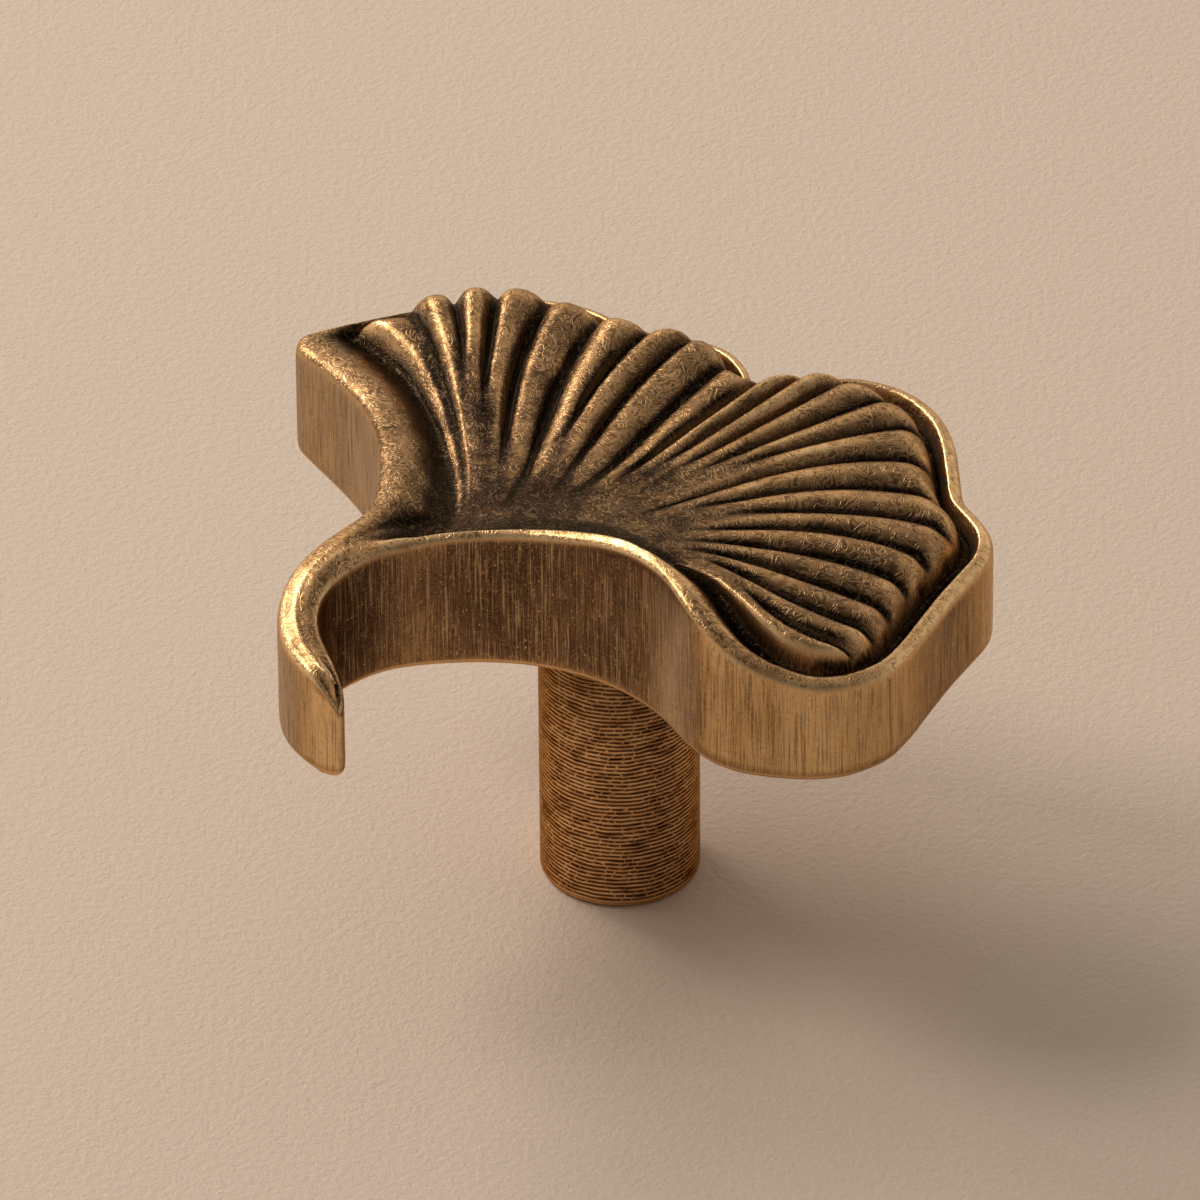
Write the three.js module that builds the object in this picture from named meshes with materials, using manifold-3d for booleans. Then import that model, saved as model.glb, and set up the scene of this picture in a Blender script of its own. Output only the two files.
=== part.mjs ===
// Leaf shaped pull: a cast fan leaf with a curled stalk, on a round turned post.
// Units are millimetres. +Z points away from the drawer front and the origin is the centre of the
// post's foot. +Y runs from the stalk to the middle of the fan's outer edge.

import * as THREE from "three";
import { mergeVertices } from "three/addons/utils/BufferGeometryUtils.js";
import Module from "manifold-3d";

// Post
const POST_DIAMETER = 12;
const POST_HEIGHT = 24;
const FOOT_ROUND = 0.5;
const FOOT_ROUND_STEPS = 3;
const SIDES = 64;

// Turned spigot on the post and the blind socket for it in the leaf's underside
const SPIGOT_DIAMETER = 8;
const SPIGOT_LENGTH = 5;
const SPIGOT_CHAMFER = 0.5;
const SOCKET_CLEARANCE = 0.3;

// Blind screw hole in the foot, at the tapping size of an M4 thread
const HOLE_DIAMETER = 3.3;
const HOLE_DEPTH = 12;
const HOLE_MOUTH_CHAMFER = 0.5;
const DRILL_POINT_ANGLE = 118;

// Leaf in plan: its size across the lobes and from the stalk's tip to the fan's edge, and where
// the post stands under it, counted from the drawing's zero
const LEAF_WIDTH = 61.2;
const LEAF_LENGTH = 55.7;
const POST_CENTRE = [-1, 1];

// Leaf edge: height of the wall at the back of the left lobe, the edges' breaks, and how far the
// raised edge swells for each millimetre of its width
const EDGE_HEIGHT = 11;
const EDGE_ROUND = 0.7;
const EDGE_CROWN = 0.08;
const UNDERSIDE_CHAMFER = 0.3;

// Width of the raised edge in from the outline: the wide left band, the bead round the back and
// right, the band on the front shoulder and the lip along the front
const BAND_WIDTH = 4.6;
const BEAD_WIDTH = 1.75;
const SHOULDER_WIDTH = 2.7;
const LIP_WIDTH = 1.4;

// Ridges: how they round off, how deep the valleys between them go at the left and at the right and
// over which share of the way up they deepen, how late the crests rise and the ridges bend from
// their middle to their place at the rim, and where the ridges' ends round down
const RIDGE_ROUNDNESS = 2.9;
const VALLEY_DEPTH_LEFT = 1.7;
const VALLEY_DEPTH_RIGHT = 1.1;
const VALLEY_RUN_IN = 0.35;
const CREST_BEND = 1.7;
const BEND_START = 0.4;
const RIDGE_END = 0.1;

// Antiqued brass
const BRASS = 0x8a6538;

// Fineness of the mesh
const STEPS_PER_HALF_RIDGE = 3;
const STALK_STEPS = 18;
const ROWS = [
  0, 0.06, 0.12, 0.18, 0.24, 0.31, 0.38, 0.45, 0.52, 0.59,
  0.66, 0.73, 0.79, 0.84, 0.88, 0.91, 0.935, 0.96, 0.98, 0.993, 1,
];

// The drawing of the leaf, made at a width of 61.2 and a length of 55.7. Heights are given from
// EDGE_HEIGHT. Each row is a cut across the raised edge: outline x, y and height, the foot of the
// edge inside it x, y and height, and the width of the edge.
const DRAWN_WIDTH = 61.2;
const DRAWN_LENGTH = 55.7;

// Stalk, from its tip to the hollow beside the hub: left outline, centre line and right outline,
// each x, y and height, and the widths of the edge at the left and at the right
const STALK = [
  [0.9, -29.25, -5.5, 0.1, -29.1, -2.9, 0.9, -29.25, -5.5, 0.8, 0.8],
  [0.1, -29.95, -3.1, -0.3, -29.0, -2.6, 0.8, -28.5, -4.8, 0.9, 0.9],
  [-2.3, -29.9, -2.4, -2.3, -28.7, -2.1, -1.6, -27.5, -2.5, 1.3, 1.3],
  [-5.5, -29.1, -1.9, -4.7, -27.7, -1.6, -3.8, -26.5, -1.9, 1.6, 1.5],
  [-8.5, -26.7, -1.2, -7.0, -25.8, -0.9, -5.6, -25.2, -1.3, 1.8, 1.5],
  [-10.4, -23.4, -0.6, -8.4, -23.2, -0.3, -6.7, -23.4, -0.8, 2, 1.7],
  [-11.1, -19.8, -0.2, -8.9, -20.2, 0.1, -7.05, -21.3, -0.4, 2.2, 2],
  [-11.1, -17.1, 0, -8.9, -17.4, 0, -6.95, -19.5, -0.1, 2.2, 2.4],
  [-11.3, -15.2, 0, -8.8, -14.9, -0.5, -6.7, -18.2, 0, 2.4, 2.4],
  [-12.0, -13.6, 0, -8.0, -12.7, -1.3, -6.3, -17.1, 0.05, 3.6, 2],
  [-13.0, -12.1, 0, -6.5, -10.6, -1.4, -5.7, -16.0, 0.1, BAND_WIDTH * 1.05, LIP_WIDTH],
];

// Left lobe, from the stalk to its tip
const LEFT_BAND = [
  [-13.0, -12.1, 0, -6.5, -10.6, -1.4, BAND_WIDTH * 1.05],
  [-14.2, -10.7, 0, -8.4, -8.3, -1.5, BAND_WIDTH * 1.05],
  [-15.7, -9.2, 0, -10.9, -6.1, -1.6, BAND_WIDTH * 1.05],
  [-17.4, -7.7, -0.1, -13.8, -4.1, -1.6, BAND_WIDTH],
  [-19.7, -6.1, -0.2, -16.9, -2.1, -1.7, BAND_WIDTH],
  [-22.6, -4.7, -0.4, -20.2, -0.3, -1.7, BAND_WIDTH],
  [-25.9, -3.7, -0.7, -23.5, 1.2, -1.8, BAND_WIDTH],
  [-29.7, -2.7, -1.1, -26.8, 1.9, -1.9, BAND_WIDTH],
  [-31.9, -2.0, -1.5, -28.9, 2.1, -1.9, BAND_WIDTH * 0.95],
  [-32.8, -0.6, -1.6, -29.9, 2.2, -1.9, BAND_WIDTH * 0.75],
];

// Back and right side, from the left lobe's tip to the right lobe's tip
const OUTER_EDGE = [
  [-32.8, -0.6, -1.6, -29.9, 2.2, -1.9, BAND_WIDTH * 0.75],
  [-31.9, 1.1, -1.4, -29.9, 2.8, -1.9, BEAD_WIDTH * 1.2],
  [-30.5, 2.5, -1.0, -29.0, 4.1, -1.8, BEAD_WIDTH * 0.9],
  [-29.1, 4.8, -0.8, -27.8, 6.1, -1.7, BEAD_WIDTH * 0.8],
  [-27.7, 7.5, -0.7, -26.3, 8.4, -1.7, BEAD_WIDTH * 0.8],
  [-25.4, 11.5, -0.6, -24.3, 11.2, -1.7, BEAD_WIDTH * 0.8],
  [-22.4, 14.3, -0.5, -21.5, 13.2, -1.6, BEAD_WIDTH * 0.8],
  [-18.8, 15.9, -0.3, -18.3, 14.3, -1.5, BEAD_WIDTH * 0.8],
  [-15.1, 16.2, -0.2, -15.2, 14.5, -1.6, BEAD_WIDTH * 0.8],
  [-12.4, 17.0, -0.3, -12.3, 15.4, -1.7, BEAD_WIDTH * 0.8],
  [-9.9, 18.8, -0.5, -9.6, 17.2, -1.8, BEAD_WIDTH * 0.8],
  [-7.2, 19.4, -0.6, -7.2, 17.7, -1.9, BEAD_WIDTH * 0.8],
  [-5.0, 18.8, -0.7, -5.0, 17.0, -2.0, BEAD_WIDTH * 0.8],
  [-3.2, 17.8, -0.8, -2.5, 16.2, -2.1, BEAD_WIDTH * 0.8],
  [-2.2, 19.3, -0.9, -0.8, 18.3, -2.2, BEAD_WIDTH * 0.9],
  [-0.6, 21.8, -1.0, 0.8, 20.8, -2.3, BEAD_WIDTH],
  [1.7, 24.1, -1.0, 3.0, 22.5, -2.4, BEAD_WIDTH],
  [5.2, 25.5, -1.2, 5.7, 23.5, -2.7, BEAD_WIDTH],
  [8.8, 25.2, -1.5, 8.3, 23.2, -2.9, BEAD_WIDTH],
  [11.8, 23.6, -1.8, 10.7, 21.9, -3.2, BEAD_WIDTH],
  [14.6, 21.2, -2.2, 13.4, 19.8, -3.5, BEAD_WIDTH],
  [16.9, 19.3, -2.5, 15.7, 17.9, -3.8, BEAD_WIDTH],
  [19.0, 18.7, -2.6, 17.8, 17.0, -3.9, BEAD_WIDTH],
  [21.2, 17.7, -2.7, 19.5, 16.1, -4.0, BEAD_WIDTH],
  [22.9, 15.7, -2.8, 20.8, 14.2, -4.0, BEAD_WIDTH],
  [23.8, 12.9, -2.9, 21.6, 12.0, -4.0, BEAD_WIDTH],
  [24.7, 9.8, -2.9, 22.4, 9.2, -4.0, BEAD_WIDTH],
  [25.9, 6.3, -2.9, 23.5, 6.0, -4.0, BEAD_WIDTH],
  [27.1, 2.9, -2.8, 24.8, 2.7, -4.0, BEAD_WIDTH],
  [27.7, 0, -2.7, 25.4, -0.3, -3.9, BEAD_WIDTH],
  [27.0, -3.4, -2.6, 24.8, -3.0, -3.8, BEAD_WIDTH],
];

// Shoulder, from the right lobe's tip to the front of the hub
const SHOULDER = [
  [27.0, -3.4, -2.6, 24.8, -3.0, -3.8, BEAD_WIDTH],
  [25.4, -5.7, -2.4, 23.5, -4.3, -3.6, BEAD_WIDTH],
  [23.2, -7.5, -1.7, 21.7, -5.2, -3.1, SHOULDER_WIDTH * 0.8],
  [20.9, -8.8, -0.6, 19.5, -5.5, -2.2, SHOULDER_WIDTH],
  [18.2, -9.3, 0.7, 16.9, -5.1, -0.9, SHOULDER_WIDTH * 1.3],
  [15.2, -8.8, 1.7, 14.2, -4.8, 0.4, SHOULDER_WIDTH * 1.3],
  [12.4, -7.9, 2.1, 11.2, -5.6, 1.5, SHOULDER_WIDTH * 0.8],
];

// Front lip, from the shoulder to the stalk
const FRONT_LIP = [
  [12.4, -7.9, 2.1, 11.2, -5.6, 1.5, SHOULDER_WIDTH * 0.8],
  [9.4, -7.5, 2.2, 8.6, -6.0, 1.6, LIP_WIDTH],
  [6.3, -7.7, 1.9, 6.2, -6.2, 1.4, LIP_WIDTH],
  [3.2, -8.5, 1.3, 3.4, -6.9, 1.0, LIP_WIDTH],
  [0.2, -9.95, 0.8, 0.6, -8.1, 0.5, LIP_WIDTH],
  [-2.4, -12.0, 0.5, -1.9, -9.4, -0.1, LIP_WIDTH],
  [-4.4, -14.2, 0.3, -4.3, -10.4, -0.8, LIP_WIDTH],
  [-5.7, -16.0, 0.1, -6.5, -10.6, -1.4, LIP_WIDTH],
];

// Ridges, from the left band to the shoulder: place across the fan half way up and at the rim,
// crest height at the rim, and the share of the way up where the valley after it begins
const RIDGES = [
  [0.027, 0.02, 0.5, 0.72],
  [0.047, 0.075, 2.6, 0.62],
  [0.069, 0.116, 2.9, 0.45],
  [0.098, 0.162, 2.7, 0.22],
  [0.147, 0.221, 2.2, 0.1],
  [0.225, 0.28, 2.9, 0.36],
  [0.257, 0.329, 2.7, 0.2],
  [0.312, 0.36, 2.2, 0.14],
  [0.395, 0.423, 2.1, 0.28],
  [0.428, 0.467, 2.0, 0.36],
  [0.477, 0.504, 1.8, 0.34],
  [0.515, 0.536, 1.1, 0.36],
  [0.549, 0.585, 0.4, 0.42],
  [0.575, 0.638, 0, 0.1],
  [0.618, 0.697, -0.3, 0.2],
  [0.672, 0.75, -0.5, 0.3],
  [0.723, 0.801, -0.8, 0.16],
  [0.771, 0.852, -0.9, 0.12],
  [0.837, 0.886, -1.0, 0.12],
  [0.89, 0.928, -1.1, 0.16],
  [0.94, 0.957, -1.2, 0.35],
  [0.98, 0.987, -1.4, 1],
];

const stretch = (x, y, height) => new THREE.Vector3(
  (x - POST_CENTRE[0]) * LEAF_WIDTH / DRAWN_WIDTH,
  (y - POST_CENTRE[1]) * LEAF_LENGTH / DRAWN_LENGTH,
  EDGE_HEIGHT + height,
);

const smooth = (from, to, value) => THREE.MathUtils.smoothstep(value, from, to);
const mix = THREE.MathUtils.lerp;

// One closed outline through every cut, so that it has no corner where two stretches meet
const stalkLeft = STALK.map((row) => stretch(...row.slice(0, 3)));
const stalkCentre = STALK.map((row) => stretch(...row.slice(3, 6)));
const stalkRight = STALK.map((row) => stretch(...row.slice(6, 9))).reverse();
const outerPoints = (rows) => rows.map((row) => stretch(...row.slice(0, 3)));
const innerPoints = (rows) => rows.map((row) => stretch(...row.slice(3, 6)));
const outlinePoints = [
  ...stalkLeft,
  ...outerPoints(LEFT_BAND).slice(1),
  ...outerPoints(OUTER_EDGE).slice(1),
  ...outerPoints(SHOULDER).slice(1),
  ...outerPoints(FRONT_LIP).slice(1),
  ...stalkRight.slice(1, -1),
];
const outline = new THREE.CatmullRomCurve3(outlinePoints, true);

const centreLine = new THREE.CatmullRomCurve3(stalkCentre);
const leftFoot = new THREE.CatmullRomCurve3(innerPoints(LEFT_BAND));
const outerFoot = new THREE.CatmullRomCurve3(innerPoints(OUTER_EDGE));
const shoulderFoot = new THREE.CatmullRomCurve3(innerPoints(SHOULDER));
const lipFoot = new THREE.CatmullRomCurve3(innerPoints(FRONT_LIP));

// Where the crests and valleys lie across the fan at a share of the way from the hub to the rim
function columnsAt(share) {
  const bend = Math.max(0, (share - BEND_START) / (1 - BEND_START)) ** 2;
  const crests = RIDGES.map(([middle, rim]) => mix(middle, rim, bend));
  const valleys = [0];
  for (let i = 1; i < crests.length; i += 1) valleys.push((crests[i - 1] + crests[i]) / 2);
  valleys.push(1);
  const columns = [];
  crests.forEach((crest, i) => {
    for (let k = 0; k < STEPS_PER_HALF_RIDGE; k += 1) {
      const along = k / STEPS_PER_HALF_RIDGE;
      columns.push({ across: mix(valleys[i], crest, along), ridge: i, slope: along - 1 });
    }
    for (let k = 0; k < STEPS_PER_HALF_RIDGE; k += 1) {
      const along = k / STEPS_PER_HALF_RIDGE;
      columns.push({ across: mix(crest, valleys[i + 1], along), ridge: i, slope: along });
    }
  });
  columns.push({ across: 1, ridge: crests.length - 1, slope: 1 });
  return columns;
}

// The four feet of the raised edge bound the fan, and the fan is the patch stretched between them
function fanPoint(share, across) {
  const left = leftFoot.getPointAt(share);
  const right = shoulderFoot.getPointAt(1 - share);
  const hub = lipFoot.getPointAt(1 - across);
  const rim = outerFoot.getPointAt(across);
  const corners = [lipFoot.getPoint(1), lipFoot.getPoint(0), outerFoot.getPoint(0), outerFoot.getPoint(1)];
  const sides = left.clone().lerp(right, across);
  const ends = hub.clone().lerp(rim, share);
  const hubChord = corners[0].clone().lerp(corners[1], across);
  const rimChord = corners[2].clone().lerp(corners[3], across);
  const point = sides.add(ends).sub(hubChord.lerp(rimChord, share));
  return { point, left, right, hub, rim };
}

// Height of the carved fan above the patch: crests run out level from the hub, valleys deepen to
// the rim and the ridges' ends round down into the groove inside the bead
function fanHeight(share, column, { point, hub }) {
  const crestLift = (i) => {
    const crest = mix(hub.z, EDGE_HEIGHT + RIDGES[i][2], share ** CREST_BEND);
    return Math.max(0, crest - point.z);
  };
  const valleyLift = (i) => {
    if (i < 0 || i === RIDGES.length - 1) return 0;
    const [, place, , start] = RIDGES[i];
    const depth = mix(VALLEY_DEPTH_LEFT, VALLEY_DEPTH_RIGHT, place);
    const between = (crestLift(i) + crestLift(i + 1)) / 2;
    return Math.max(0, between - depth * smooth(start, start + VALLEY_RUN_IN, share));
  };
  const valley = valleyLift(column.slope < 0 ? column.ridge - 1 : column.ridge);
  const lift = mix(crestLift(column.ridge), valley, Math.abs(column.slope) ** RIDGE_ROUNDNESS);
  const fromEnd = Math.min(1, (1 - share) / RIDGE_END);
  return point.z + lift * Math.sqrt(fromEnd * (2 - fromEnd));
}

// A cut across the raised edge, from the underside up the wall and over to the foot of the edge
function edgeCut(outer, inner, width) {
  const reach = Math.hypot(inner.x - outer.x, inner.y - outer.y);
  const x = (inner.x - outer.x) / reach;
  const y = (inner.y - outer.y) / reach;
  const round = Math.min(EDGE_ROUND, width * 0.45);
  const foot = Math.min(width, reach * 0.9);
  const at = (inwards, z) => new THREE.Vector3(outer.x + x * inwards, outer.y + y * inwards, z);
  const top = (u) => mix(outer.z, inner.z, smooth(0.25, 1.05, u)) + EDGE_CROWN * foot * 4 * u * (1 - u);
  return [
    at(UNDERSIDE_CHAMFER, 0),
    at(0, UNDERSIDE_CHAMFER),
    at(0, outer.z - round),
    at(round * (1 - Math.SQRT1_2), outer.z - round * (1 - Math.SQRT1_2)),
    at(round, outer.z),
    at(mix(round, foot, 0.3), top(0.3)),
    at(mix(round, foot, 0.55), top(0.55)),
    at(mix(round, foot, 0.8), top(0.8)),
    at(foot, inner.z),
    inner,
  ];
}

// Cuts along one stretch of the edge: the foot's curve sets the pace and the outline follows it,
// forwards or backwards from its first knot
function stretchCuts(foot, firstKnot, direction, widths, shares) {
  const spans = widths.length - 1;
  return shares.map((share) => {
    const knot = foot.getUtoTmapping(share) * spans;
    const below = Math.min(Math.floor(knot), spans - 1);
    const width = mix(widths[below], widths[below + 1], knot - below);
    const along = (firstKnot + direction * knot) / outlinePoints.length;
    return edgeCut(outline.getPoint(along % 1), foot.getPointAt(share), width);
  });
}

// All cuts round the leaf, clockwise from the stalk's tip, each as a column of points
function allCuts() {
  const stalkShares = Array.from({ length: STALK_STEPS + 1 }, (_, i) => i / STALK_STEPS);
  const rimShares = columnsAt(1).map((column) => column.across);
  const hubShares = columnsAt(0).map((column) => column.across);
  const widthsOf = (rows) => rows.map((row) => row[6]);
  const leftWidths = STALK.map((row) => row[9]);
  const rightWidths = STALK.map((row) => row[10]);
  const reversed = (shares) => shares.map((share) => 1 - share).reverse();
  const knots = {
    left: STALK.length - 1,
    outer: STALK.length + LEFT_BAND.length - 2,
    shoulder: STALK.length + LEFT_BAND.length + OUTER_EDGE.length - 3,
    lip: STALK.length + LEFT_BAND.length + OUTER_EDGE.length + SHOULDER.length - 4,
  };
  knots.stalk = knots.lip + FRONT_LIP.length - 1;
  const pieces = [
    stretchCuts(centreLine, 0, 1, leftWidths, stalkShares),
    stretchCuts(leftFoot, knots.left, 1, widthsOf(LEFT_BAND), ROWS),
    stretchCuts(outerFoot, knots.outer, 1, widthsOf(OUTER_EDGE), rimShares),
    stretchCuts(shoulderFoot, knots.shoulder, 1, widthsOf(SHOULDER), reversed(ROWS)),
    stretchCuts(lipFoot, knots.lip, 1, widthsOf(FRONT_LIP), reversed(hubShares)),
    stretchCuts(centreLine, outlinePoints.length, -1, rightWidths, [...stalkShares].reverse()),
  ];
  return pieces.flatMap((piece) => piece.slice(0, -1));
}

function addQuad(triangles, a, b, c, d) {
  triangles.push(a, b, c, a, c, d);
}

// The leaf as one closed surface: walls and raised edge, carved fan and flat underside
function leafGeometry() {
  const triangles = [];
  const cuts = allCuts();
  cuts.forEach((cut, i) => {
    const next = cuts[(i + 1) % cuts.length];
    for (let k = 0; k < cut.length - 1; k += 1) {
      addQuad(triangles, cut[k + 1], next[k + 1], next[k], cut[k]);
    }
  });

  const rows = ROWS.map((share) => columnsAt(share).map((column) => {
    const place = fanPoint(share, column.across);
    return new THREE.Vector3(place.point.x, place.point.y, fanHeight(share, column, place));
  }));
  for (let j = 0; j < rows.length - 1; j += 1) {
    for (let i = 0; i < rows[j].length - 1; i += 1) {
      addQuad(triangles, rows[j][i], rows[j][i + 1], rows[j + 1][i + 1], rows[j + 1][i]);
    }
  }

  const rim = cuts.map((cut) => cut[0]);
  const faces = THREE.ShapeUtils.triangulateShape(rim.map((p) => new THREE.Vector2(p.x, p.y)), []);
  faces.forEach(([a, b, c]) => triangles.push(rim[a], rim[c], rim[b]));

  const geometry = new THREE.BufferGeometry().setFromPoints(triangles);
  return mergeVertices(geometry, 1e-4).translate(0, 0, POST_HEIGHT);
}

// A closed profile in the plane through the axis, turned once round and welded at the axis
function turned(profile) {
  const lathe = new THREE.LatheGeometry(profile.map(([r, z]) => new THREE.Vector2(r, z)), SIDES);
  lathe.deleteAttribute("normal");
  lathe.deleteAttribute("uv");
  const geometry = mergeVertices(lathe, 1e-4).rotateX(Math.PI / 2);
  const kept = [];
  for (let i = 0; i < geometry.index.count; i += 3) {
    const corners = [...geometry.index.array.slice(i, i + 3)];
    if (new Set(corners).size === 3) kept.push(...corners);
  }
  geometry.setIndex(kept);
  return geometry;
}

function postGeometry() {
  const radius = POST_DIAMETER / 2;
  const hole = HOLE_DIAMETER / 2;
  const spigot = SPIGOT_DIAMETER / 2;
  const pointLength = hole / Math.tan(THREE.MathUtils.degToRad(DRILL_POINT_ANGLE / 2));
  const top = POST_HEIGHT + SPIGOT_LENGTH;
  const foot = [];
  for (let i = 0; i <= FOOT_ROUND_STEPS; i += 1) {
    const angle = (Math.PI / 2) * (i / FOOT_ROUND_STEPS);
    foot.push([
      radius - FOOT_ROUND * (1 - Math.sin(angle)),
      FOOT_ROUND * (1 - Math.cos(angle)),
    ]);
  }
  return turned([
    [0, HOLE_DEPTH + pointLength],
    [hole, HOLE_DEPTH],
    [hole, HOLE_MOUTH_CHAMFER],
    [hole + HOLE_MOUTH_CHAMFER, 0],
    ...foot,
    [radius, POST_HEIGHT],
    [spigot, POST_HEIGHT],
    [spigot, top - SPIGOT_CHAMFER],
    [spigot - SPIGOT_CHAMFER, top],
    [0, top],
  ]);
}

// The socket's cutter reaches one clearance below the underside
function socketGeometry() {
  const radius = SPIGOT_DIAMETER / 2 + SOCKET_CLEARANCE;
  const bottom = POST_HEIGHT - SOCKET_CLEARANCE;
  const top = POST_HEIGHT + SPIGOT_LENGTH + SOCKET_CLEARANCE;
  return turned([[0, bottom], [radius, bottom], [radius, top], [0, top]]);
}

const wasm = await Module();
wasm.setup();

function toManifold(geometry) {
  return new wasm.Manifold(new wasm.Mesh({
    numProp: 3,
    vertProperties: new Float32Array(geometry.attributes.position.array),
    triVerts: new Uint32Array(geometry.index.array),
  }));
}

function fromManifold(solid) {
  const { vertProperties, triVerts } = solid.getMesh();
  const geometry = new THREE.BufferGeometry();
  geometry.setAttribute("position", new THREE.BufferAttribute(vertProperties, 3));
  geometry.setIndex(new THREE.BufferAttribute(triVerts, 1));
  return geometry;
}

function named(name, geometry) {
  const material = new THREE.MeshStandardMaterial({ color: BRASS, metalness: 1, roughness: 0.5 });
  const mesh = new THREE.Mesh(geometry, material);
  mesh.name = name;
  geometry.computeVertexNormals();
  return mesh;
}

const leaf = toManifold(leafGeometry()).subtract(toManifold(socketGeometry()));
const pull = new THREE.Group();
pull.name = "leaf_pull";
pull.add(named("leaf_head", fromManifold(leaf)), named("post", postGeometry()));

export default pull;
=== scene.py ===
import math

import bmesh
import bpy
from mathutils import Matrix, Vector
from mathutils.kdtree import KDTree


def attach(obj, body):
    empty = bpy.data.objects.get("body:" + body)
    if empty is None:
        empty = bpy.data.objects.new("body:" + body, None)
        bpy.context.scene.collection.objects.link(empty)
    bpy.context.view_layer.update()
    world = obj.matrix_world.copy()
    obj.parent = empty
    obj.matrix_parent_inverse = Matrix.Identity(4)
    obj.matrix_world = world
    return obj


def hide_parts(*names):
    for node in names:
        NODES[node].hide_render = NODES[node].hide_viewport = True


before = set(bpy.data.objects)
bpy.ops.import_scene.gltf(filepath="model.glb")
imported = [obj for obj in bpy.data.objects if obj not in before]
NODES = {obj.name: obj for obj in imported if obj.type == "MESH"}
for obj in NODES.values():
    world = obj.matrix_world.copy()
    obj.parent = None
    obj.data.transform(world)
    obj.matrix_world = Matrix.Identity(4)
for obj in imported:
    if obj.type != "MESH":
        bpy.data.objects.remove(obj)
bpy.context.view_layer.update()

MM = 0.001


def extent(node, axis):
    """Lowest and highest place of one of the part's solids along an axis."""
    places = [vert.co[axis] for vert in NODES[node].data.vertices]
    return min(places), max(places)


# Post and spigot: their lengths and the post's radius come from the part's solids
POST_HEIGHT = extent("leaf_head", 2)[0]
POST_RADIUS = extent("post", 0)[1]
SPIGOT_LENGTH = extent("post", 2)[1] - POST_HEIGHT
SPIGOT_RADIUS = 4.0 * MM
SPIGOT_CHAMFER = 0.5 * MM
FOOT_ROUND = 0.5 * MM
FOOT_STEPS = 6
POST_SIDES = 96

# Screw hole: M4, with the thread's crests at the tapping size
HOLE_RADIUS = 1.65 * MM
HOLE_DEPTH = 12.0 * MM
HOLE_MOUTH_CHAMFER = 0.5 * MM
DRILL_POINT = 0.99 * MM
THREAD_PITCH = 0.7 * MM
THREAD_DEPTH = 0.33 * MM

# Leaf: the height past which an edge is a wall's, the rows of faces up the walls, and the rounding
# of the stalk's upright end corner
TALL = 3.0 * MM
WALL_ROWS = 10
TIP_ROUND = 0.75 * MM
TIP_SEGMENTS = 5

# An edge bent by more than SHARP is a sharp one, and HAIR is small enough to mean no distance
SHARP = math.radians(60)
HAIR = 0.01 * MM

# Wear: how far round a point it looks, and the offset that counts in full
RELIEF_REACH = 1.4 * MM
RELIEF_FULL = 0.25 * MM
BEND_REACH = 8.0 * MM
BEND_FULL = 1.2 * MM

# Spacing of the post's turned rings, in millimetres
RING_PITCH = 0.36

# Painted shade and light by place, in millimetres: a point, how far it reaches in full and at all,
# and by how much, more being darker. On top, painted shade darkens the hub and the first ridges,
# and painted light lightens the stalk, its tip and the far lobe. On the walls, painted shade
# darkens them under the hub's edge, inside the stalk's curl and beside the bay.
TOP_SHADE_AND_LIGHT = [
    ((-3.5, -7.6, 34.0), 3.0, 9.0, 0.2),
    ((-16.0, -2.0, 35.0), 3.0, 10.0, 0.2),
    ((-6.5, -23.0, 33.5), 3.0, 9.0, -0.4),
    ((1.0, -30.0, 31.0), 2.0, 4.5, -0.4),
    ((11.0, 12.0, 34.0), 4.0, 15.0, -0.2),
]
WALL_SHADE = [
    ((-1.0, -13.0, 33.5), 2.0, 7.0, 0.2),
    ((-6.0, -21.5, 31.0), 2.0, 6.0, 0.3),
    ((21.0, -10.0, 29.0), 2.0, 6.5, 0.4),
]

# Camera: the photograph is 1200 pixels wide, taken with a long lens from above the front left
IMAGE_WIDTH = 1200
FOCAL_PIXELS = 15000
SENSOR_WIDTH = 36.0
CAMERA_ELEVATION = math.radians(35.0)
CAMERA_ROLL = math.radians(-0.45)
CAMERA_TURN = math.radians(45.0)
CAMERA_DISTANCE = 1122.19 * MM
FOOT_IN_IMAGE = (620.2, 861.3)

# Sky: its brightness at the horizon, and how it changes with direction, so that it is darker
# overhead, and brighter behind the part and at its left as the photograph shows it
SKY_COLOUR = "#fdf8f2"
SKY_LEVEL = 0.8
SKY_SLOPE = (-0.42, 0.21, -0.42)

# Lamps: name, direction in the photograph's own terms (right, away from the camera, up), distance
# and width in metres, and power in watts. They point at the top of the post.
LAMP_COLOUR = "#fffaf4"
LAMP_AIM = Vector((0.0, 0.0, 25.0 * MM))
LAMPS = [
    ("window", (-0.6, 0.14, 0.79), 0.75, 0.26, 2.0),
    ("rim_light", (-0.54, 0.6, 0.56), 1.3, 0.5, 7.6),
]

# Half the width of the ground
GROUND_REACH = 4.0


def linear(hex_colour):
    """An sRGB hex colour as linear RGBA."""
    channels = [int(hex_colour[i:i + 2], 16) / 255 for i in (1, 3, 5)]
    lit = [c / 12.92 if c <= 0.04045 else ((c + 0.055) / 1.055) ** 2.4 for c in channels]
    return (*lit, 1.0)


def add(owner, kind, links=None, sockets=None, **settings):
    """Adds a node to a material or world with its settings, socket values and links."""
    tree = owner.node_tree
    made = tree.nodes.new(kind)
    for name, value in settings.items():
        setattr(made, name, value)
    for name, value in (sockets or {}).items():
        made.inputs[name].default_value = value
    for name, output in (links or {}).items():
        tree.links.new(output, made.inputs[name])
    return made


def start_material(name):
    """A new material without nodes."""
    material = bpy.data.materials.new(name)
    material.use_nodes = True
    material.node_tree.nodes.clear()
    return material


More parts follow.
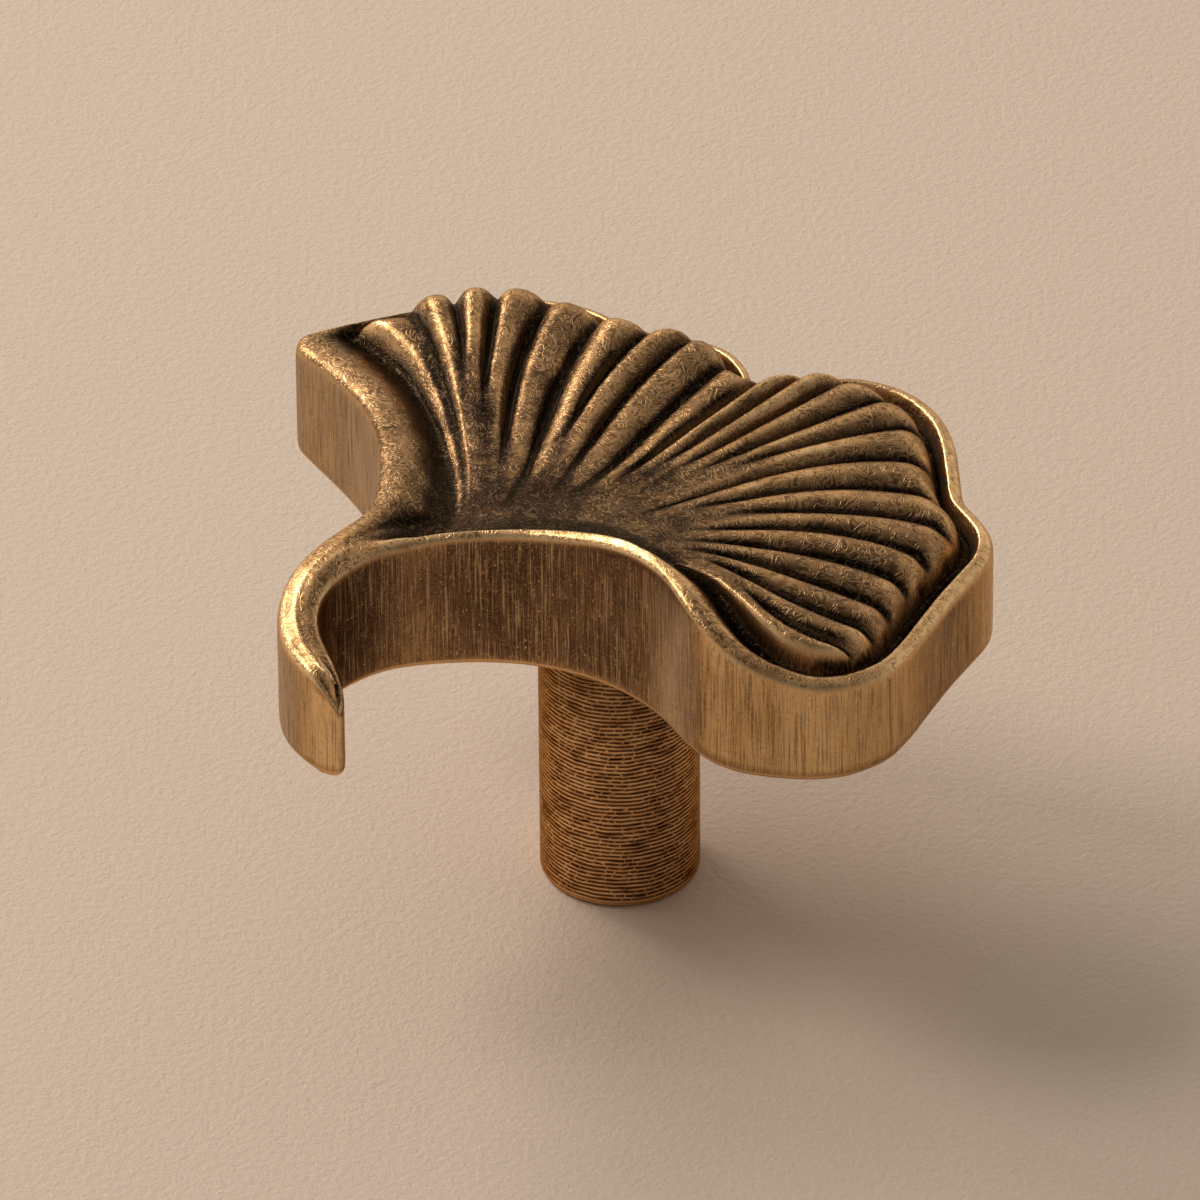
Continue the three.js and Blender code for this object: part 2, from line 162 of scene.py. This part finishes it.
def calculate(material, operation, value, other=0.5):
    """A value put through an operation, with another value or a number where it takes one."""
    links = {0: value}
    fixed = {}
    (fixed if isinstance(other, (int, float)) else links)[1] = other
    return add(material, "ShaderNodeMath", links, fixed, operation=operation).outputs[0]


def times(material, value, factor):
    """Product of a value with another value or with a number."""
    return calculate(material, "MULTIPLY", value, factor)


def plus(material, value, other):
    """Sum of two values."""
    return calculate(material, "ADD", value, other)


def levels(material, field, count):
    """Folds a field into levels: 0 on each level and 0.5 halfway between two of them."""
    return calculate(material, "PINGPONG", times(material, field, count), 0.5)


def remap(material, value, low, high, to_low=0.0, to_high=1.0):
    """The value carried from one range to another, and held at its ends."""
    ends = {"From Min": low, "From Max": high, "To Min": to_low, "To Max": to_high}
    return add(material, "ShaderNodeMapRange", {"Value": value}, ends).outputs[0]


def scaled(material, vector, x, y, z):
    """The vector with each axis multiplied."""
    return add(material, "ShaderNodeVectorMath", {0: vector}, {1: (x, y, z)},
               operation="MULTIPLY").outputs[0]


def moved(material, vector, shift):
    """The vector moved by another vector."""
    return add(material, "ShaderNodeVectorMath", {0: vector, 1: shift}, operation="ADD").outputs[0]


def axis_of(material, vector, axis):
    """One axis of a vector."""
    return add(material, "ShaderNodeSeparateXYZ", {0: vector}).outputs[axis]


def noise(material, vector, scale, detail=2.0, roughness=0.5, distortion=0.0):
    """A noise node. Its first output is the value."""
    sockets = {"Scale": scale, "Detail": detail, "Roughness": roughness, "Distortion": distortion}
    return add(material, "ShaderNodeTexNoise", {"Vector": vector}, sockets)


def blend(material, share, low, high):
    """Mixes two colours, each an output or a fixed RGBA."""
    links = {0: share}
    fixed = {}
    for socket, colour in ((6, low), (7, high)):
        (fixed if isinstance(colour, tuple) else links)[socket] = colour
    return add(material, "ShaderNodeMix", links, fixed, data_type="RGBA").outputs[2]


def tones(material, value, stops):
    """The value as a colour, through stops of (position, hex colour) from low to high."""
    ramp = add(material, "ShaderNodeValToRGB", {0: value})
    elements = ramp.color_ramp.elements
    while len(elements) < len(stops):
        elements.new(1.0)
    for element, (position, hex_colour) in zip(elements, stops):
        element.position = position
        element.color = linear(hex_colour)
    return ramp.outputs[0]


def in_millimetres(material):
    """The place on the piece in millimetres, and its normal."""
    place = add(material, "ShaderNodeTexCoord")
    return scaled(material, place.outputs["Object"], 1000, 1000, 1000), place.outputs["Normal"]


def with_painted_shade_and_light(material, mm, wear, places):
    """The wear with each place of a list of painted shade and light added."""
    for point, inner, outer, amount in places:
        gap = add(material, "ShaderNodeVectorMath", {0: mm}, {1: point}, operation="DISTANCE")
        there = remap(material, gap.outputs["Value"], inner, outer, amount, 0.0)
        wear = plus(material, wear, there)
    return wear


def finish_metal(material, colour, roughness, height, depth, tint):
    """Ends a metal with its shader. roughness is an output or a number, height and depth are the
    bump's, and tint colours the reflections at grazing angles."""
    bump = add(material, "ShaderNodeBump", {"Height": height}, {"Strength": 1.0, "Distance": depth})
    links = {"Base Color": colour, "Normal": bump.outputs[0]}
    fixed = {"Metallic": 1.0, "Specular Tint": linear(tint)}
    (fixed if isinstance(roughness, float) else links)["Roughness"] = roughness
    shader = add(material, "ShaderNodeBsdfPrincipled", links, fixed)
    add(material, "ShaderNodeOutputMaterial", {0: shader.outputs[0]})
    return material


def leaf_brass():
    """Antiqued cast brass: sand cast, blackened with liver of sulphur, then rubbed back by hand.
    It is near black in the valleys and in the walls' hollow bends, worn to pale brass on edges and
    ridges, and covered with short curled burr marks on top. The walls are brushed upright."""
    material = start_material("antiqued_cast_brass")
    mm, normal = in_millimetres(material)
    facing = axis_of(material, normal, "Z")
    side = axis_of(material, normal, "X")
    on_top = remap(material, facing, 0.2, 0.6)
    on_wall = remap(material, facing, 0.2, 0.6, 1.0, 0.0)
    relief = add(material, "ShaderNodeAttribute", attribute_name="relief").outputs["Fac"]
    bend = add(material, "ShaderNodeAttribute", attribute_name="bend").outputs["Fac"]

    # Curled burr marks about 0.3 mm apart: levels of a curled noise, broken by another. Each mark
    # has a crest painted bright, partly rubbed metal and partly a painted glint, and a dark root
    # beside it, partly patina and partly painted shade.
    swirl = levels(material, noise(material, mm, 0.8, 1.0, 0.5, 1.3).outputs[0], 7.0)
    kept = remap(material, noise(material, mm, 1.2, 1.0).outputs[0], 0.3, 0.46)
    marks = times(material, remap(material, swirl, 0.05, 0.2, 1.0, 0.0), kept)
    roots = times(material, remap(material, swirl, 0.3, 0.46), kept)

    # Upright brushing on the walls: lines 0.1 mm wide and a few millimetres long, and specks for
    # painted glints
    upright = scaled(material, mm, 8.0, 8.0, 0.2)
    strokes = noise(material, upright, 1.0, 2.0, 0.7, 0.1).outputs[0]
    grains = noise(material, scaled(material, mm, 6.0, 6.0, 3.0), 1.0, 0.0).outputs[0]
    specks = remap(material, grains, 0.76, 0.82)

    # Patina on top: dark where the surface is hollow, rubbed through where it stands up
    mottle = noise(material, mm, 0.3, 4.0, 0.65).outputs[0]
    stain = remap(material, mottle, 0.3, 0.7, -0.2, 0.2)
    # Besides wear, this adds the listed places' painted shade and light on top
    worn = with_painted_shade_and_light(material, mm, plus(material, relief, stain), TOP_SHADE_AND_LIGHT)
    top = tones(material, remap(material, worn, -1.0, 1.0), [
        (0.0, "#e0b682"),
        (0.12, "#bc905e"),
        (0.3, "#8a6846"),
        (0.44, "#62492f"),
        (0.54, "#32221a"),
        (0.68, "#0d0805"),
    ])
    # Painted glints on the marks' crests, and painted shade in their roots
    lit_marks = times(material, marks, remap(material, worn, -0.35, 0.15, 0.45, 0.08))
    top = blend(material, lit_marks, top, linear("#d2ac7e"))
    top = blend(material, times(material, roots, 0.6), top, linear("#24170e"))

    # Patina on the walls: dark in their hollow bends, except where they face -x and are painted
    # paler
    bend_off_sheen_side = times(material, bend, remap(material, side, -0.35, 0.05))
    bent = plus(material, bend_off_sheen_side, times(material, stain, 0.5))
    # The listed places add painted shade on the walls
    bent = with_painted_shade_and_light(material, mm, bent, WALL_SHADE)
    wall = tones(material, remap(material, bent, -1.0, 1.0), [
        (0.0, "#e6c28e"),
        (0.35, "#b48e60"),
        (0.6, "#775940"),
        (0.85, "#4d3625"),
        (1.0, "#2c1b10"),
    ])
    # Walls facing -x are painted paler: a painted reflection
    minus_x_sheen = remap(material, side, -0.1, -0.35, 0.0, 0.85)
    wall = blend(material, minus_x_sheen, wall, linear("#c4ac90"))
    dark_stroke = linear("#35261a")
    light_stroke = linear("#dcb988")
    wall = blend(material, remap(material, strokes, 0.36, 0.5, 0.55, 0.0), wall, dark_stroke)
    wall = blend(material, remap(material, strokes, 0.54, 0.66, 0.0, 0.5), wall, light_stroke)
    # Marks on the walls as well: a painted glint on each crest and painted shade in each root
    wall = blend(material, times(material, marks, 0.16), wall, light_stroke)
    wall = blend(material, times(material, roots, 0.2), wall, dark_stroke)
    # Bright specks: painted glints
    wall = blend(material, specks, wall, linear("#c8a06c"))

    # The walls' upper edges are rubbed bright, and a thin band just above the underside is painted
    # bright
    bright_edge = linear("#deb480")
    rounding = remap(material, calculate(material, "ABSOLUTE", facing), 0.08, 0.35)
    edge_wear = times(material, remap(material, relief, -0.2, -0.8), rounding)
    underside = POST_HEIGHT / MM
    height = axis_of(material, mm, "Z")
    lower_edge = remap(material, height, underside + 0.34, underside + 0.46, 0.8, 0.0)
    wall = blend(material, edge_wear, wall, bright_edge)
    wall = blend(material, lower_edge, wall, bright_edge)
    colour = blend(material, on_top, wall, top)

    roughness = remap(material, worn, -0.8, 0.4, 0.3, 0.42)
    mark_height = plus(material, marks, times(material, roots, -0.6))
    top_height = times(material, times(material, mark_height, on_top),
                       remap(material, worn, -0.8, -0.2, 0.5, 1.0))
    wall_height = times(material, times(material, strokes, on_wall), 0.6)
    skin = plus(material, top_height, wall_height)
    return finish_metal(material, colour, roughness, skin, 0.014 * MM, "#e8dccf")


def post_brass():
    """Antiqued turned brass: left from the lathe with fine rings, nicked across, blackened and
    rubbed back, so that the rings' crests and the nicks shine and the rest is dark. It is painted
    lighter round the foot, and darker under the leaf as painted shade."""
    material = start_material("antiqued_turned_brass")
    around = add(material, "ShaderNodeUVMap", uv_map="around_mm").outputs[0]
    mm, _ = in_millimetres(material)
    wobble = noise(material, mm, 0.5, 1.0).outputs["Color"]
    path = moved(material, around, scaled(material, wobble, 1.5, 0.3, 0.0))
    patches = noise(material, scaled(material, path, 0.5, 1.2, 1.0), 1.0, 2.0, 0.6).outputs[0]

    # Rings, brighter in some patches than in others
    ring = levels(material, axis_of(material, path, "Y"), 1 / RING_PITCH)
    crests = times(material, remap(material, ring, 0.12, 0.34, 1.0, 0.0),
                   remap(material, patches, 0.3, 0.5, 0.45, 1.0))

    # Nicks across the rings: the joints of a shuffled brick pattern, shown in patches
    shuffle = noise(material, scaled(material, path, 0.6, 3.0, 1.0), 1.0, 1.0).outputs["Color"]
    courses = moved(material, path, scaled(material, shuffle, 1.6, 0.0, 0.0))
    sockets = {"Scale": 1.0, "Mortar Size": 0.07, "Mortar Smooth": 0.4, "Brick Width": 0.9,
               "Row Height": RING_PITCH}
    bricks = add(material, "ShaderNodeTexBrick", {"Vector": courses}, sockets, offset=0.41)
    shown = remap(material, noise(material, mm, 0.8, 2.0).outputs[0], 0.42, 0.5)
    nicks = times(material, bricks.outputs["Fac"], shown)

    bright = calculate(material, "MAXIMUM", crests, nicks)
    height = axis_of(material, mm, "Z")
    # A band painted lighter round the foot
    foot = remap(material, height, 0.45, 0.8, 1.0, 0.0)
    # Painted shade under the leaf: darker up the post towards the head
    shade_under_leaf = remap(material, height, 13.0, 22.0, 0.0, 0.6)
    crest_colour = tones(material, patches, [
        (0.3, "#b98b5c"),
        (0.5, "#e0ac74"),
        (0.7, "#f2c890"),
    ])
    root_colour = tones(material, patches, [
        (0.35, "#2e1e14"),
        (0.6, "#664730"),
    ])
    colour = blend(material, bright, root_colour, crest_colour)
    colour = blend(material, shade_under_leaf, colour, linear("#38250f"))
    colour = blend(material, foot, colour, linear("#cfa26c"))
    return finish_metal(material, colour, 0.34, bright, 0.03 * MM, "#d9bb9f")


def plaster():
    """The ground: fine, pale, matt plaster with a faint uneven skin."""
    material = start_material("pale_plaster")
    mm, _ = in_millimetres(material)
    skin = noise(material, mm, 1.6, 4.0, 0.7).outputs[0]
    bump = add(material, "ShaderNodeBump", {"Height": skin},
               {"Strength": 0.6, "Distance": 0.3 * MM})
    shader = add(material, "ShaderNodeBsdfPrincipled", {"Normal": bump.outputs[0]},
                 {"Base Color": linear("#cab6a3"), "Roughness": 0.9, "Specular IOR Level": 0.2})
    add(material, "ShaderNodeOutputMaterial", {0: shader.outputs[0]})
    return material


def new_object(name, data):
    """Makes an object of its data and links it to the scene."""
    made = bpy.data.objects.new(name, data)
    bpy.context.scene.collection.objects.link(made)
    return made


def mesh_object(name, bm, material):
    """Makes an object of a bmesh, with one material."""
    mesh = bpy.data.meshes.new(name)
    bm.to_mesh(mesh)
    bm.free()
    mesh.materials.append(material)
    return new_object(name, mesh)


def finish_piece(name, bm, material, slot, *replaced):
    """Makes a piece of a bmesh: smooth shaded, with its material, riding on the root body."""
    piece = mesh_object(name, bm, material)
    piece.data.shade_smooth()
    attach(piece, "root")
    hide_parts(*replaced)
    return piece


def offsets(points, chosen, reach, full, flat=False):
    """How far the surroundings of each chosen point lie out along its normal, as a share of full:
    positive in hollows, negative where the surface stands out."""
    def spot(point):
        return Vector((point.co.x, point.co.y, 0.0)) if flat else point.co

    tree = KDTree(len(chosen))
    for i in chosen:
        tree.insert(spot(points[i]), i)
    tree.balance()
    values = [0.0] * len(points)
    for i in chosen:
        place = spot(points[i])
        near = tree.find_range(place, reach)
        weights = [1.0 - 0.8 * gap / reach for _, _, gap in near]
        centre = sum((co * w for (co, _, _), w in zip(near, weights)), Vector()) / sum(weights)
        values[i] = max(-1.0, min(1.0, (centre - place).dot(points[i].normal) / full))
    return values


def measure_wear(mesh):
    """Writes two attributes: relief, the small hollows and crests all over, and bend, the walls'
    large hollow and outward bends in plan."""
    points = mesh.vertices
    everywhere = range(len(points))
    walls = [i for i in everywhere
             if abs(points[i].normal.z) < 0.2 and points[i].co.xy.length > POST_RADIUS]
    attributes = {
        "relief": offsets(points, everywhere, RELIEF_REACH, RELIEF_FULL),
        "bend": offsets(points, walls, BEND_REACH, BEND_FULL, flat=True),
    }
    for name, values in attributes.items():
        mesh.attributes.new(name, "FLOAT", "POINT").data.foreach_set("value", values)


def tall_edges(bm):
    """The upright edges of the leaf's walls."""
    return [edge for edge in bm.edges if abs(edge.verts[0].co.z - edge.verts[1].co.z) > TALL]


def make_leaf():
    """The cast leaf: the part's own solid, joined into quads and rounded by subdivision. Its
    underside and its sharp level edges stay sharp."""
    bm = bmesh.new()
    bm.from_mesh(NODES["leaf_head"].data)
    bmesh.ops.remove_doubles(bm, verts=bm.verts, dist=0.002 * MM)
    bmesh.ops.join_triangles(bm, faces=bm.faces, angle_face_threshold=math.radians(40),
                             angle_shape_threshold=math.radians(60))
    corner = [edge for edge in tall_edges(bm) if edge.calc_face_angle(0.0) > SHARP]
    corner_foot = [edge for upright in corner for vert in upright.verts for edge in vert.link_edges
                   if min(end.co.z for end in edge.verts) < POST_HEIGHT + HAIR]
    bmesh.ops.bevel(bm, geom=corner + corner_foot, offset=TIP_ROUND, offset_type="OFFSET",
                    affect="EDGES", segments=TIP_SEGMENTS, profile=0.5, material=-1)
    bmesh.ops.subdivide_edges(bm, edges=tall_edges(bm), cuts=WALL_ROWS - 1, use_grid_fill=True)
    crease = bm.edges.layers.float.new("crease_edge")
    for edge in bm.edges:
        low, high = sorted(vert.co.z for vert in edge.verts)
        under = high < POST_HEIGHT + HAIR
        upright = high - low > 0.9 * edge.calc_length()
        if under or (edge.calc_face_angle(0.0) > SHARP and not upright):
            edge[crease] = 1.0
    leaf = finish_piece("cast_leaf", bm, leaf_brass(), "head_brass", "leaf_head")
    measure_wear(leaf.data)
    smooth = leaf.modifiers.new("rounding", "SUBSURF")
    smooth.levels = 1
    smooth.render_levels = 1


def post_profile():
    """The post's half section as (radius, height), from the hole's end round to the spigot's."""
    profile = [(0.0, HOLE_DEPTH + DRILL_POINT), (HOLE_RADIUS, HOLE_DEPTH)]
    turns = int((HOLE_DEPTH - 2 * HOLE_MOUTH_CHAMFER) / THREAD_PITCH)
    for turn in range(turns):
        low = HOLE_DEPTH - turn * THREAD_PITCH
        profile.append((HOLE_RADIUS, low - 0.1 * THREAD_PITCH))
        profile.append((HOLE_RADIUS + THREAD_DEPTH, low - 0.5 * THREAD_PITCH))
        profile.append((HOLE_RADIUS, low - 0.9 * THREAD_PITCH))
    profile.append((HOLE_RADIUS, HOLE_MOUTH_CHAMFER))
    profile.append((HOLE_RADIUS + HOLE_MOUTH_CHAMFER, 0.0))
    for step in range(FOOT_STEPS + 1):
        angle = math.pi / 2 * step / FOOT_STEPS
        profile.append((POST_RADIUS - FOOT_ROUND * (1 - math.sin(angle)),
                        FOOT_ROUND * (1 - math.cos(angle))))
    top = POST_HEIGHT + SPIGOT_LENGTH
    return profile + [
        (POST_RADIUS, POST_HEIGHT),
        (SPIGOT_RADIUS, POST_HEIGHT),
        (SPIGOT_RADIUS, top - SPIGOT_CHAMFER),
        (SPIGOT_RADIUS - SPIGOT_CHAMFER, top),
        (0.0, top),
    ]


def spin_profile(profile, steps):
    """A profile of (radius, height) points spun round the post's axis."""
    bm = bmesh.new()
    points = [bm.verts.new((r, 0.0, z)) for r, z in profile]
    edges = [bm.edges.new(pair) for pair in zip(points, points[1:])]
    bmesh.ops.spin(bm, geom=points + edges, cent=(0, 0, 0), axis=(0, 0, 1), angle=math.tau,
                   steps=steps, use_merge=True)
    bmesh.ops.remove_doubles(bm, verts=bm.verts, dist=0.001 * MM)
    bmesh.ops.recalc_face_normals(bm, faces=bm.faces)
    return bm


def make_post():
    """The turned post, with its threaded hole and rounded foot. Its map holds millimetres round
    the post and up it, for the rings."""
    bm = spin_profile(post_profile(), POST_SIDES)
    uv = bm.loops.layers.uv.new("around_mm")
    for face in bm.faces:
        middle = face.calc_center_median()
        front = math.atan2(middle.y, middle.x)
        for loop in face.loops:
            turn = math.atan2(loop.vert.co.y, loop.vert.co.x) - front
            turn = (turn + math.pi) % math.tau - math.pi
            loop[uv].uv = ((front + turn) * POST_RADIUS / MM, loop.vert.co.z / MM)
    for edge in bm.edges:
        if len(edge.link_faces) == 2 and edge.calc_face_angle() > math.radians(40):
            edge.smooth = False
    finish_piece("turned_post", bm, post_brass(), "post_brass", "post")


def make_ground():
    """The plaster floor that the part stands on."""
    bm = bmesh.new()
    bmesh.ops.create_grid(bm, x_segments=1, y_segments=1, size=GROUND_REACH)
    ground = mesh_object("ground", bm, plaster())


def photo_axes():
    """Right, up and forward of the camera in the part's frame."""
    right = Vector((math.cos(CAMERA_TURN), math.sin(CAMERA_TURN), 0.0))
    level = Vector((-math.sin(CAMERA_TURN), math.cos(CAMERA_TURN), 0.0))
    forward = level * math.cos(CAMERA_ELEVATION) - Vector((0, 0, math.sin(CAMERA_ELEVATION)))
    up = right.cross(forward)
    cos_roll = math.cos(CAMERA_ROLL)
    sin_roll = math.sin(CAMERA_ROLL)
    return right * cos_roll + up * sin_roll, up * cos_roll - right * sin_roll, forward


def make_camera():
    """The photograph's camera, placed so that the post's foot is where the photograph has it."""
    right, up, forward = photo_axes()
    data = bpy.data.cameras.new("photo_view")
    data.sensor_width = SENSOR_WIDTH
    data.lens = FOCAL_PIXELS / IMAGE_WIDTH * SENSOR_WIDTH
    data.clip_start = 0.05
    data.clip_end = 20.0
    scale = CAMERA_DISTANCE / FOCAL_PIXELS
    aside = (FOOT_IN_IMAGE[0] - IMAGE_WIDTH / 2) * scale
    below = (IMAGE_WIDTH / 2 - FOOT_IN_IMAGE[1]) * scale
    place = -(forward * CAMERA_DISTANCE + right * aside + up * below)
    turn = Matrix((right, up, -forward)).transposed().to_4x4()
    camera = new_object("photo_view", data)
    camera.matrix_world = Matrix.Translation(place) @ turn
    bpy.context.scene.camera = camera


def make_lamp(name, towards, distance, width, power):
    """A soft square lamp that shines on the leaf."""
    data = bpy.data.lights.new(name, "AREA")
    data.shape = "SQUARE"
    data.size = width
    data.energy = power
    data.color = linear(LAMP_COLOUR)[:3]
    lamp = new_object(name, data)
    direction = Matrix.Rotation(CAMERA_TURN, 3, "Z") @ Vector(towards).normalized()
    lamp.location = LAMP_AIM + direction * distance
    lamp.rotation_mode = "QUATERNION"
    lamp.rotation_quaternion = direction.to_track_quat("Z", "Y")


def light_room():
    """A sky whose brightness changes with direction, and the lamps."""
    world = bpy.data.worlds.new("studio")
    world.use_nodes = True
    direction = add(world, "ShaderNodeTexCoord").outputs["Generated"]
    slope = add(world, "ShaderNodeVectorMath", {0: direction}, {1: SKY_SLOPE},
                operation="DOT_PRODUCT")
    level = add(world, "ShaderNodeMath", {0: slope.outputs["Value"]}, {1: SKY_LEVEL},
                operation="ADD", use_clamp=True)
    sky = world.node_tree.nodes["Background"]
    sky.inputs["Color"].default_value = linear(SKY_COLOUR)
    world.node_tree.links.new(level.outputs[0], sky.inputs["Strength"])
    bpy.context.scene.world = world
    for lamp in LAMPS:
        make_lamp(*lamp)


make_leaf()
make_post()
make_ground()
make_camera()
light_room()

bpy.context.scene.view_settings.view_transform = "Standard"
